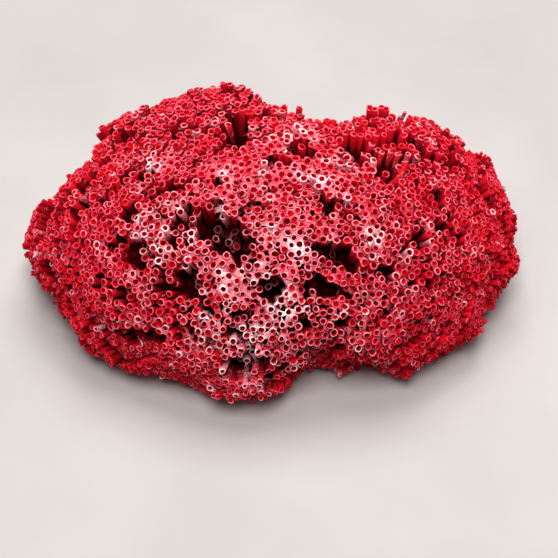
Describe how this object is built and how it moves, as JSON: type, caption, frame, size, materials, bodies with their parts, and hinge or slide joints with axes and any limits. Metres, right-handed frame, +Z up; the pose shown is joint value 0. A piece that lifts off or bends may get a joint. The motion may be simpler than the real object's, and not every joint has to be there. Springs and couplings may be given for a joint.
{
  "type": "organ pipe coral",
  "caption": "Wide low dome of red organ pipe coral, its pipes fanning out in stepped bundles over a flat cut base, for display.",
  "frame": {"origin": "on the flat cut base, under the middle of the colony's box", "axes": "+X to the right along the colony's length, +Y to its back, +Z up from the cut base"},
  "size_m": [0.154, 0.1076, 0.0606],
  "materials": {
    "coral_skeleton": "matte chalky red skeleton, paler pink on the pipe rims"
  },
  "bodies": {
    "root": {"colony": "coral_skeleton"}
  },
  "joints": []
}
